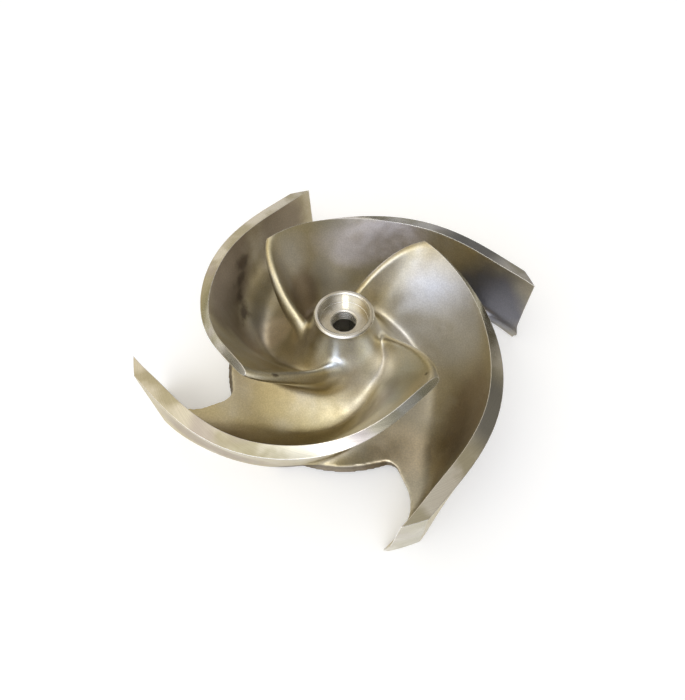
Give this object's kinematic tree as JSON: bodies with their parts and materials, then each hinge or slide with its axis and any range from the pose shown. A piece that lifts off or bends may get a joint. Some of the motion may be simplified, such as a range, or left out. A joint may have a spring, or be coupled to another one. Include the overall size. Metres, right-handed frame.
{
  "type": "pump impeller",
  "caption": "Semi-open pump impeller cast in one piece, with swept vanes leaning over deep passages, a notched back web and a keyed hub with a counterbored nose.",
  "frame": {"origin": "on the shaft axis, in the plane of the machined back face", "axes": "+Z along the shaft axis towards the suction side; +X to the right and +Y away from the viewer of the picture"},
  "size_m": [0.3254, 0.3254, 0.0944],
  "materials": {
    "cast_steel": "blasted as-cast stainless steel with turned front, rim and bores"
  },
  "bodies": {
    "root": {"impeller": "cast_steel"}
  },
  "joints": []
}
